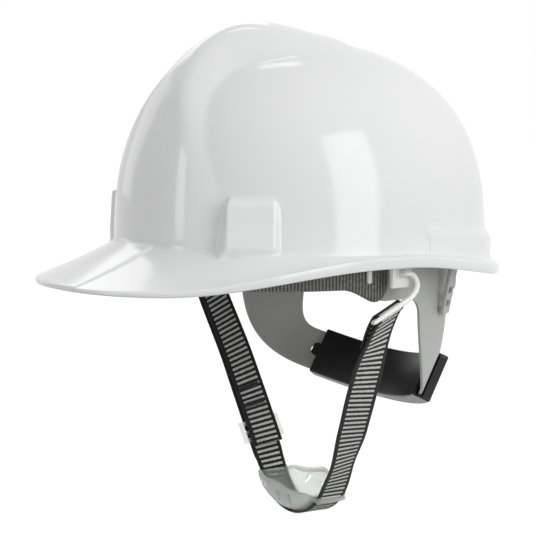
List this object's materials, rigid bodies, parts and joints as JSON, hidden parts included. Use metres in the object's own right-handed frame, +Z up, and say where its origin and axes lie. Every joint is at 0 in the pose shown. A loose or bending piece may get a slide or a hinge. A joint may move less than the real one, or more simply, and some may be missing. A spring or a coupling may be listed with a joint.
{
  "type": "hard hat",
  "caption": "Domed hard hat with a short visor, raised crown band, hung headband, nape sleeve and a webbing chin strap with a chin cup.",
  "frame": {"origin": "on the head's axis, level with the lower rim, where a head fills the headband", "axes": "+Z up the head's axis, -Y to the front of the visor, +X to the wearer's left"},
  "size_m": [0.215, 0.292, 0.2986],
  "materials": {
    "moulded_white": "glossy moulded white",
    "moulded_grey": "satin moulded light grey",
    "ribbed_dark_cloth": "ribbed dark grey cloth over foam",
    "glossy_black": "glossy moulded black",
    "white_nylon": "satin white nylon",
    "striped_webbing": "woven black webbing with pale cross stripes",
    "white_webbing": "woven off-white webbing",
    "milky_plastic": "milky translucent moulded plastic"
  },
  "bodies": {
    "hat": {"shell": "moulded_white", "headband": "moulded_grey", "sweatband": "ribbed_dark_cloth", "left_sweatband_stud": "white_nylon", "right_sweatband_stud": "white_nylon", "lower_crown_strap": "white_webbing", "upper_crown_strap": "white_webbing", "left_strap_lug": "white_nylon", "right_strap_lug": "white_nylon", "front_left_key": "white_nylon", "front_left_peg": "white_nylon", "front_right_key": "white_nylon", "front_right_peg": "white_nylon", "rear_left_key": "white_nylon", "rear_left_peg": "white_nylon", "rear_right_key": "white_nylon", "rear_right_peg": "white_nylon"},
    "chin_strap": {"left_strap_hook": "white_nylon", "right_strap_hook": "white_nylon", "chin_webbing": "striped_webbing"},
    "chin_cup": {"chin_cup": "milky_plastic"},
    "strap_buckle": {"strap_buckle": "milky_plastic"},
    "nape_sleeve": {"nape_sleeve": "glossy_black"}
  },
  "joints": [
    {"name": "chin_strap_swing", "type": "hinge", "parent": "hat", "child": "chin_strap", "pos_m": [0, 0.0065, 0.005], "axis": [1, 0, 0], "range_deg": [-48, 8]},
    {"name": "chin_cup_slide", "type": "hinge", "parent": "chin_strap", "child": "chin_cup", "pos_m": [0, 0.0035, -0.111], "axis": [0, 1, 0], "range_deg": [-7, 7]},
    {"name": "strap_buckle_slide", "type": "slide", "parent": "chin_strap", "child": "strap_buckle", "axis": [-0.4754, -0.0704, 0.877], "range_m": [-0.006, 0.02]},
    {"name": "nape_sleeve_slide", "type": "hinge", "parent": "hat", "child": "nape_sleeve", "pos_m": [0, -0.02222, -0.01951], "axis": [0, 0.4848, 0.8746], "range_deg": [-3.5, 3.5]}
  ]
}
